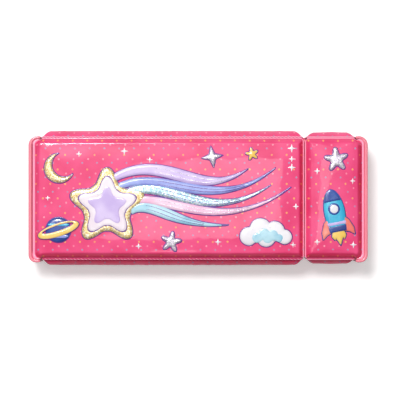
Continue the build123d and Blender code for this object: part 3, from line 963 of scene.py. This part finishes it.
give_material(["sharpener_blade"], steel("blade_steel", (0.68, 0.69, 0.72), 0.18, 500.0, (1, 8, 1)))
give_material(["rack_pin", "sharpener_screw"], steel("pin_steel", (0.55, 0.56, 0.58), 0.22, 700.0,
                                                     (6, 1, 6)))
give_material(["keeper_plates"], steel("keeper_steel", (0.48, 0.49, 0.51), 0.35, 400.0, (8, 1, 1)))
give_material(["main_flap_magnets", "small_flap_magnet"],
              plastic("magnet", (0.03, 0.03, 0.035), 0.6, 0.0, 2200.0, 0.5))


# Puffy picture on the large lid. Soft shapes of coloured and glittered vinyl stand up from the
# skin, each inside a violet outline: a comet with a ribbon tail, a moon, a planet and a cloud.
picture_step = 0.6
skirt = 0.25
outline_width = 0.55
outline_height = 0.4
overlap = 0.6
tip_power = 1.6
outline_step = 0.5
border_step = 0.12
fine_rim = 0.6
border_gap = 0.42
moon_hollow = 0.42
moon_horn = 55
moon_steps = 24
strand_steps = 48


def glitter_group():
    """Flakes under clear vinyl: tint, metal share, roughness and tilted height for each flake."""
    group, given, result = new_group(
        "glitter", {"Place": nowhere, "Ground": white, "Flake": white, "Spark": white},
        ["Color", "Metallic", "Roughness", "Height"])
    flakes = add_node(group, "TexVoronoi", Vector=given["Place"], Scale=1500.0)
    red, green, blue = add_node(group, "SeparateColor", i0=flakes.outputs["Color"]).outputs
    base = mixed(group, ranged(group, red, 0.3, 0.75), given["Ground"], given["Flake"])
    feed(group, result, Color=mixed(group, ranged(group, green, 0.72, 0.8), base, given["Spark"]),
         Metallic=ranged(group, blue, 0.2, 0.6, 0.1, 0.75),
         Roughness=ranged(group, green, 0.0, 1.0, 0.45, 0.2), Height=blue)
    return group


glitter = glitter_group()


def glitter_material(name, ground, flake, spark):
    """Glitter vinyl with a clear top coat."""
    material, tree, shader = bare_material(name)
    tint, metal, rough, height = place_group(tree, glitter, Place=object_place(tree), Ground=ground,
                                             Flake=flake, Spark=spark).outputs
    finish(tree, shader, height, 0.4, 0.0003, Base_Color=tint, Metallic=metal, Roughness=rough,
           Coat_Weight=0.5, Coat_Roughness=0.08)
    return material


def ink_material(name, colour, second):
    """Glossy puffed vinyl of one ink, shaded softly towards a second tone."""
    material, tree, shader = bare_material(name)
    place = object_place(tree)
    soft = ranged(tree, noisy(tree, place, 70.0, 2.0), 0.35, 0.65, smooth=True)
    rough, height = place_group(tree, vinyl_skin, Place=place, Roughness=0.22, Spread=0.12).outputs
    finish(tree, shader, height, 0.2, Base_Color=mixed(tree, soft, colour, second), Roughness=rough,
           Coat_Weight=0.5, Coat_Roughness=0.08)
    return material


ink_tones = {
    "violet": ((0.115, 0.035, 0.27), (0.16, 0.05, 0.36)),
    "navy": ((0.022, 0.045, 0.24), (0.03, 0.09, 0.38)),
    "lilac": ((0.56, 0.42, 0.78), (0.69, 0.56, 0.86)),
    "periwinkle": ((0.25, 0.30, 0.74), (0.36, 0.44, 0.84)),
    "aqua": ((0.30, 0.60, 0.76), (0.50, 0.76, 0.86)),
    "cyan": ((0.03, 0.42, 0.68), (0.08, 0.58, 0.80)),
    "rose": ((0.86, 0.46, 0.66), (0.92, 0.62, 0.78)),
    "cream": ((0.84, 0.72, 0.80), (0.90, 0.82, 0.88)),
    "white": ((0.88, 0.86, 0.90), (0.84, 0.81, 0.87)),
    "yellow": ((0.90, 0.58, 0.10), (0.95, 0.68, 0.20)),
    "coral": ((0.92, 0.20, 0.16), (0.95, 0.30, 0.22)),
}
inks = {name: ink_material("ink_" + name, *tones) for name, tones in ink_tones.items()}
inks["gold"] = glitter_material("glitter_gold", (0.62, 0.42, 0.14), (0.86, 0.70, 0.36),
                                (1.0, 0.95, 0.75))
inks["silver"] = glitter_material("glitter_silver", (0.52, 0.44, 0.58), (0.78, 0.74, 0.82),
                                  (1.0, 0.98, 1.0))
inks["aqua_glitter"] = glitter_material("glitter_aqua", (0.26, 0.50, 0.62), (0.62, 0.78, 0.84),
                                        (0.95, 0.98, 1.0))


def resample(points, spacing):
    """Points at an even spacing along a closed outline."""
    points = np.array(points, float)
    closed = np.concatenate([points, points[:1]])
    steps = np.linalg.norm(np.diff(closed, axis=0), axis=1)
    along = np.concatenate([[0], np.cumsum(steps)])
    count = max(12, round(along[-1] / spacing))
    at = np.linspace(0, along[-1], count, endpoint=False)
    return np.stack([np.interp(at, along, closed[:, k]) for k in range(2)], 1)


def within(points, loops):
    """Whether each point lies inside the loops, from where the loops cross the point's own row."""
    start = np.concatenate(loops)
    along = np.concatenate([np.roll(loop, -1, axis=0) for loop in loops]) - start
    inside = np.zeros(len(points), bool)
    for level in np.unique(points[:, 1]):
        row = points[:, 1] == level
        met = (start[:, 1] > level) != (start[:, 1] + along[:, 1] > level)
        share = (level - start[met, 1]) / along[met, 1]
        crossings = start[met, 0] + share * along[met, 0]
        inside[row] = (crossings > points[row, 0][:, None]).sum(1) % 2 == 1
    return inside


def edge_distance(points, loops):
    """Distance of each point to the nearest place on the loops."""
    border = np.concatenate([resample(loop, border_step) for loop in loops])
    tree = KDTree(len(border))
    for k, point in enumerate(border):
        tree.insert((*point, 0.0), k)
    tree.balance()
    return np.array([tree.find((*point, 0.0))[2] for point in points])


def puffed(loops, height, rim, surface, floor=0.0):
    """A closed low dome over flat outlines, standing on a lid's skin."""
    step = picture_step if rim > fine_rim else picture_step / 2
    loops = [resample(loop, step) for loop in loops]
    border = np.concatenate(loops)
    low, high = border.min(0), border.max(0)
    grid_u, grid_v = np.meshgrid(np.arange(low[0], high[0], step), np.arange(low[1], high[1], step))
    grid_u[::2] += step / 2
    inner = np.stack([grid_u.ravel(), grid_v.ravel()], 1)
    inner = inner[within(inner, loops)]
    if len(inner):
        inner = inner[edge_distance(inner, loops) > border_gap * step]
    points = np.concatenate([border, inner])
    edges = []
    start = 0
    for loop in loops:
        edges += [(start + k, start + (k + 1) % len(loop)) for k in range(len(loop))]
        start += len(loop)
    found = delaunay_2d_cdt([Vector(p) for p in points], edges, [], 0, 1e-6)
    flat = np.array([tuple(p) for p in found[0]])
    triangles = np.array([tuple(f) for f in found[2]])
    unsure = (triangles < len(border)).all(1)
    kept = ~unsure
    kept[unsure] = within(flat[triangles[unsure]].mean(1), loops)
    triangles = triangles[kept]
    distance = edge_distance(flat, loops)
    dome = height * np.sqrt(1 - (1 - np.clip(distance / rim, 0, 1)) ** 2)
    ground = np.array([surface(u, v) for u, v in flat])
    count = len(flat)
    verts = [(u, v, z) for (u, v), z in zip(flat, ground + floor + dome)]
    verts += [(u, v, z) for (u, v), z in zip(flat, ground - skirt)]
    faces = []
    used = {}
    for a, b, c in triangles:
        faces.append((a, b, c))
        faces.append((c + count, b + count, a + count))
        for edge in ((a, b), (b, c), (c, a)):
            used[edge] = used.get(edge, 0) + 1
    for a, b in used:
        if (b, a) not in used:
            faces.append((b, a, a + count, b + count))
    return verts, [tuple(int(i) for i in face) for face in faces]


def skin_height(skin):
    """A function that gives the height of a lid's skin at a point, in millimetres."""
    mesh = skin.data
    tree = BVHTree.FromPolygons([v.co for v in mesh.vertices], [p.vertices for p in mesh.polygons])

    def height(u, v):
        hit = tree.ray_cast(Vector((u * METRES, v * METRES, 1.0)), Vector((0, 0, -1)))
        return hit[0].z / METRES
    return height


def grow(outline, width):
    """An outline moved outwards by a width, along its own normals."""
    points = resample(outline, outline_step)
    tangent = np.roll(points, -1, axis=0) - np.roll(points, 1, axis=0)
    normal = np.stack([tangent[:, 1], -tangent[:, 0]], 1)
    normal /= np.maximum(np.linalg.norm(normal, axis=1), 1e-9)[:, None]
    area = np.sum(points[:, 0] * np.roll(points[:, 1], -1) - np.roll(points[:, 0], -1) * points[:, 1])
    return points + normal * width * math.copysign(1, area)


def round_star(centre, outer, inner, tips, turn=0.0):
    """A star with soft tips, as points round its centre."""
    angles = np.radians(np.arange(0, 360, 2.0))
    wave = (0.5 + 0.5 * np.cos(tips * angles)) ** tip_power
    radius = inner + (outer - inner) * wave
    turned = angles + math.radians(turn)
    return np.stack([centre[0] + radius * np.cos(turned), centre[1] + radius * np.sin(turned)], 1)


def swung(points, centre, turn):
    """Points drawn about the origin, turned and moved to a centre."""
    u, v = np.array(points, float).T
    c, s = math.cos(math.radians(turn)), math.sin(math.radians(turn))
    return np.stack([centre[0] + c * u - s * v, centre[1] + s * u + c * v], 1)


def disc(centre, radius, stretch=1.0, turn=0.0):
    """A circle or ellipse."""
    angles = np.radians(np.arange(0, 360, 3.0))
    line = np.stack([radius * np.cos(angles), radius * stretch * np.sin(angles)], 1)
    return swung(line, centre, turn)


def sparkle(centre, size, waist=0.3, turn=0.0):
    """A four-pointed sparkle with hollow sides."""
    points = []
    for k in range(8):
        a = math.radians(45 * k + turn)
        r = size if k % 2 == 0 else size * waist
        points.append((centre[0] + r * math.cos(a), centre[1] + r * math.sin(a)))
    return np.array(points)


def crescent(centre, radius, turn):
    """A moon: an outer arc and a shallower inner arc that meet at two tips."""
    outer = [math.radians(a) for a in np.arange(moon_horn, 361 - moon_horn, 5)]
    points = [(radius * math.cos(a), radius * math.sin(a)) for a in outer]
    tip = points[-1]
    hollow = radius * moon_hollow
    reach = math.hypot(tip[0] - hollow, tip[1])
    start = math.atan2(tip[1], tip[0] - hollow)
    sweep = 2 * (math.pi - abs(start))
    for k in range(1, moon_steps):
        a = start - sweep * k / moon_steps
        points.append((hollow + reach * math.cos(a), reach * math.sin(a)))
    return swung(points, centre, turn)


def sparkles(places):
    """Small white sparkles strewn over a lid, each with its size."""
    return [("white", [sparkle((u, v), size)], 0.1, 0.35, 0.9) for u, v, size in places]


def cloud(centre, puffs):
    """The outer line of a row of round puffs, seen from their middle."""
    points = []
    for angle in np.radians(np.arange(0, 360, 3.0)):
        ray = np.array([math.cos(angle), math.sin(angle)])
        reach = 0.0
        for u, v, radius in puffs:
            along = u * ray[0] + v * ray[1]
            off = u * u + v * v - along * along
            if off < radius * radius:
                reach = max(reach, along + math.sqrt(radius * radius - off))
        points.append((centre[0] + reach * ray[0], centre[1] + reach * ray[1]))
    return np.array(points)


def tail_line(t, anchors):
    """A point of the tail's middle line, and the way across it."""
    p = [np.array(a, float) for a in anchors]
    s = 1 - t
    point = s ** 3 * p[0] + 3 * s * s * t * p[1] + 3 * s * t * t * p[2] + t ** 3 * p[3]
    slope = 3 * s * s * (p[1] - p[0]) + 6 * s * t * (p[2] - p[1]) + 3 * t * t * (p[3] - p[2])
    slope /= np.linalg.norm(slope)
    return point, np.array([-slope[1], slope[0]])


def ribbon(anchors, start, end, side, fan, width, curl=0.0, lane=0.0, slim=1.0):
    """A strand of the tail: it keeps to its side of the middle line, swells and ends in a point.
    lane and slim narrow it to a line inside that strand."""
    left = []
    right = []
    for t in np.linspace(start, end, strand_steps):
        share = (t - start) / (end - start)
        point, across = tail_line(t, anchors)
        offset = side + fan * share * share + curl * math.sin(2.2 * math.pi * share)
        fullness = 0.6 + 0.4 * math.sin(math.pi * min(share * 1.25, 1.0))
        half = width * fullness * (1 - max(0.0, (share - 0.5) / 0.5) ** 2.2)
        offset += lane * half
        if slim < 1:
            half = slim * math.sin(math.pi * share)
        left.append(point + across * (offset + half))
        right.append(point + across * (offset - half))
    return np.array(left + right[::-1])


comet_head = (-64, -6)
head_reach = 27.5
head_waist = 17.4
head_turn = 18
head_layers = [("violet", 0.8, 1.05, 0.3, 0.5), ("cream", 0.77, 1.1, 0.55, 2.0),
               ("lilac", 0.52, 1.5, 0.35, 1.4)]
main_tail = [comet_head, (-30, 29), (4, -30), (60, 15)]
ribbons = [
    ("lilac", 13.2, 4.6, 4.1, 0.9, 0.9),
    ("periwinkle", 6.4, 2.2, 3.4, -0.7, 1.0),
    ("aqua_glitter", 0.0, 0.0, 3.7, 0.6, 0.95),
    ("rose", -6.6, -2.2, 3.3, -0.6, 1.0),
    ("aqua", -12.9, -4.2, 3.9, 0.9, 0.74),
]


def picture(body, skin, prefix, shapes):
    """Builds a lid's puffed shapes, one piece for each ink, from (ink, loops, floor, height, rim)."""
    surface = skin_height(skin)
    parts = {}
    for ink, loops, floor, height, rim in shapes:
        verts, faces = parts.setdefault(ink, ([], []))
        add_part(verts, faces, puffed(loops, height, rim, surface, floor))
    for ink, (verts, faces) in parts.items():
        new_piece(prefix + "_" + ink, verts, faces, body, "padded_vinyl", inks[ink])


def outlined(ink, outline, height=0.75, rim=1.6, edge="violet"):
    """A coloured shape inside a darker one that is a little larger and lower."""
    return [(edge, [grow(outline, outline_width)], 0.0, outline_height, 0.5),
            (ink, [outline], overlap * outline_height, height, rim)]


def comet():
    """Round-tipped star head in three layers, with five ribbons and their strand lines."""
    shapes = []
    for ink, side, fan, width, curl, end in ribbons:
        strand_ink = "silver" if ink in ("lilac", "rose") else "violet"
        strand = ribbon(main_tail, 0.1, end, side, fan, width, curl)
        shapes += outlined(ink, strand, height=0.8, rim=1.9)
        for lane in (-0.36, 0.34):
            line = ribbon(main_tail, 0.1, end, side, fan, width, curl, lane, 0.4)[12:-12]
            line = np.concatenate([line[:28], line[-28:]])
            shapes.append((strand_ink, [line], 0.8, 0.3, 0.3))
    head = round_star(comet_head, head_reach, head_waist, 5, head_turn)
    shapes += outlined("gold", head, height=1.0, rim=2.4)
    for ink, share, *place in head_layers:
        layer = round_star(comet_head, share * head_reach, share * head_waist, 5, head_turn)
        shapes.append((ink, [layer], *place))
    for shift_u, shift_v, size in ((-5.0, 9.4, 2.5), (-8.4, 6.2, 1.1)):
        glint = disc((comet_head[0] + shift_u, comet_head[1] + shift_v), size, 0.5, 32)
        shapes.append(("white", [glint], 1.55, 0.25, 0.7))
    return shapes


def planet(centre, radius):
    """A banded ball with a flat ring across its front."""
    shapes = outlined("navy", disc(centre, radius), height=1.0, rim=3.5)
    for lift, half, ink in ((0.42, 0.13, "cyan"), (-0.5, 0.17, "periwinkle")):
        middle = lift * radius
        reach = math.sqrt(radius ** 2 - middle ** 2) - 0.5
        shapes.append((ink, [disc((centre[0], centre[1] + middle), reach, half * radius / reach)],
                       1.05, 0.3, 0.8))
    outer = disc(centre, radius * 1.72, 0.3, 18)
    hollow = disc((centre[0] - 0.4, centre[1] + 1.2), radius * 1.32, 0.17, 18)
    shapes.append(("violet", [grow(outer, 0.45), grow(hollow, -0.45)], 1.0, 0.4, 0.5))
    shapes.append(("yellow", [outer, hollow], 1.3, 0.45, 0.9))
    return shapes


main_shapes = comet()
main_shapes += planet((-98.5, -22.5), 8.8)
main_shapes += outlined("gold", crescent((-98, 21), 10.5, 35), height=1.0, rim=2.2)
cloud_puffs = [(-12, -2, 6.5), (-4, 3, 7.6), (6, 1.5, 7.0), (13, -2.5, 5.2), (0, -3, 6.5)]
main_shapes += outlined("white", cloud((48, -25), cloud_puffs), height=1.0, rim=2.6)
main_shapes.append(("aqua", [cloud((49, -27), [(u * 0.62, v * 0.5, r * 0.55)
                                               for u, v, r in cloud_puffs])], 1.1, 0.4, 1.5))
main_shapes += outlined("silver", round_star((-19, -31), 7.4, 3.4, 5, 8), height=0.9)
main_shapes += outlined("silver", sparkle((10, 29), 7.6, 0.36, 8), height=0.9)
main_shapes += outlined("yellow", round_star((38, 31), 4.6, 2.2, 5, 30), height=0.7)
main_shapes += sparkles([(66, 35, 3.2), (66, 27.5, 2.4), (66, 21.5, 3.0), (-52, 33, 2.8),
                         (-84, 31, 2.2), (-34, 27, 2.2), (-106, 0, 2.0), (-42, -34, 2.4),
                         (14, -31, 2.6), (67, -33, 2.2), (69, -6, 2.4), (22, 14, 2.2)])
picture("main_lid", main_lid_skin, "main_picture", main_shapes)


# Puffy picture on the small lid. A rocket stands at a slant over a glitter star, in the same
# raised and outlined vinyl as on the large lid.
rocket_centre = (96.0, -9.0)
rocket_turn = 11.0
rocket_half = 7.2
rocket_long = 30.0
hull_bands = [("navy", 0.22, 0.5, 0.35, 1.0), ("navy", -0.5, -0.36, 0.35, 0.8),
              ("lilac", -0.34, -0.27, 0.3, 0.6)]


def turned(points):
    """Points of the rocket, drawn upright about its middle, at its slant on the lid."""
    return swung(points, rocket_centre, rocket_turn)


def hull_line(scale=1.0, low=-0.5, high=0.5):
    """The rocket's body between two heights: full below, drawn to a blunt nose."""
    right = []
    for t in np.linspace(low, high, 30):
        share = t + 0.5
        nose = math.sqrt(max(0.0, 1 - max(0.0, (share - 0.45) / 0.55) ** 2.2))
        belly = 0.86 + 0.14 * math.sin(math.pi * share)
        right.append((rocket_half * scale * belly * nose, t * rocket_long))
    return right + [(-u, v) for u, v in reversed(right)]


def rocket():
    """Hull with nose, band and round window, two fins and a flame."""
    shapes = []
    for side in (-1, 1):
        fin = [(side * 5.0, -4), (side * 9.0, -8), (side * 11.5, -14), (side * 11.6, -19),
               (side * 8.2, -16.5), (side * 4.0, -15)]
        shapes += outlined("coral", turned(fin), height=0.7, rim=1.4, edge="navy")
    flame = [(-4, -14), (-5.2, -18), (-3.2, -21), (-2.4, -19.5), (0, -25), (2.6, -19.5), (3.4, -21),
             (5.2, -18), (4, -14)]
    shapes += outlined("yellow", turned(flame), height=0.7, rim=1.4, edge="navy")
    shapes += outlined("cyan", turned(hull_line()), height=1.05, rim=3.2, edge="navy")
    for ink, low, high, height, rim in hull_bands:
        shapes.append((ink, [turned(hull_line(0.97, low, high))], 1.15, height, rim))
    window = turned([(0, 1.2)])[0]
    shapes.append(("navy", [disc(window, 4.3)], 1.2, 0.4, 0.7))
    shapes.append(("white", [disc(window, 3.0)], 1.45, 0.4, 1.2))
    return shapes


small_shapes = rocket()
small_shapes += outlined("silver", round_star((97.5, 27), 8.6, 4.3, 5, 24), height=1.0, rim=2.2)
small_shapes += sparkles([(84, 19, 2.4), (109, 12, 2.2), (84, -31, 2.2), (109.5, -33, 2.6)])
picture("small_lid", small_lid_skin, "small_picture", small_shapes)


# Studio. A pale floor, two soft lamps above the box's back left, of which the rear one is the
# stronger, a faint one overhead and an even pale room. The camera looks straight down on the lids.
floor_half = 3.0
view_half = 0.1412
view_height = 1.6
view_plane = 0.038
view_offset = (0.00134, -0.00145)
dim_side = 0.14
lit_side = 0.36
floor_white = (0.86, 0.855, 0.85)
floor_grey = (0.66, 0.655, 0.65)
floor_glow = 0.375
mirrored_share = 0.1
lamp_target = (0, 0, 0.03)
lit_way = (-0.2, 0.78, 0.59)
room_tint = (1, 0.99, 0.985)


def floor_piece():
    """White floor that keeps the shadow: the camera sees a little light of its own in it."""
    mesh = bpy.data.meshes.new("floor")
    corners = [(u * floor_half, v * floor_half, 0) for u, v in ((-1, -1), (1, -1), (1, 1), (-1, 1))]
    mesh.from_pydata(corners, [], [(0, 1, 2, 3)])
    floor = placed("floor", mesh)
    material, tree, shader = bare_material("floor")
    tree.nodes.remove(shader)
    path = add_node(tree, "LightPath").outputs
    mirrored = worked(tree, "MULTIPLY", path["Is Glossy Ray"], mirrored_share)
    seen = worked(tree, "MAXIMUM", path["Is Camera Ray"], mirrored)
    pale = mixed(tree, path["Is Camera Ray"], floor_grey, floor_white)
    matte = add_node(tree, "BsdfDiffuse", Color=pale)
    glow = worked(tree, "MULTIPLY", seen, floor_glow)
    light = add_node(tree, "Emission", Color=white, Strength=glow)
    both = add_node(tree, "AddShader", i0=matte, i1=light)
    feed(tree, tree.nodes["Material Output"], Surface=both)
    mesh.materials.append(material)


def lamp(name, place, size, power):
    """A square soft lamp aimed at the box."""
    data = bpy.data.lights.new(name, "AREA")
    data.shape = "RECTANGLE"
    data.size, data.size_y = size
    data.energy = power
    light = placed(name, data)
    light.location = place
    aim = Vector(lamp_target) - Vector(place)
    light.rotation_euler = aim.to_track_quat("-Z", "Y").to_euler()


def room():
    """Even pale light from all round, and plain white behind everything for the camera."""
    world = bpy.data.worlds.new("room")
    world.use_nodes = True
    bpy.context.scene.world = world
    tree = world.node_tree
    around = add_node(tree, "TexCoord").outputs["Generated"]
    lit = vectors(tree, "DOT_PRODUCT", around, lit_way)
    sky = tree.nodes["Background"]
    feed(tree, sky, Color=room_tint, Strength=ranged(tree, lit, -0.9, 0.9, dim_side, lit_side))
    plain = add_node(tree, "Background", Color=white, Strength=1.0)
    seen = add_node(tree, "LightPath").outputs["Is Camera Ray"]
    mix = add_node(tree, "MixShader", i0=seen, i1=sky, i2=plain)
    feed(tree, tree.nodes["World Output"], Surface=mix)


def camera():
    """The photograph's view, from straight above."""
    data = bpy.data.cameras.new("camera")
    data.sensor_width = 36.0
    data.lens = data.sensor_width / 2 * view_height / view_half
    data.clip_end = 20.0
    eye = placed("camera", data)
    eye.location = (*view_offset, view_plane + view_height)
    bpy.context.scene.camera = eye


floor_piece()
lamp("left_lamp", (-0.66, 0.56, 1.8), (0.5, 0.5), 5.6)
lamp("rear_lamp", (-0.28, 0.64, 1.84), (0.44, 0.5), 25.4)
lamp("overhead_lamp", (0.02, -0.015, 1.8), (0.42, 0.2), 0.92)
room()
camera()
bpy.context.scene.view_settings.view_transform = "Standard"
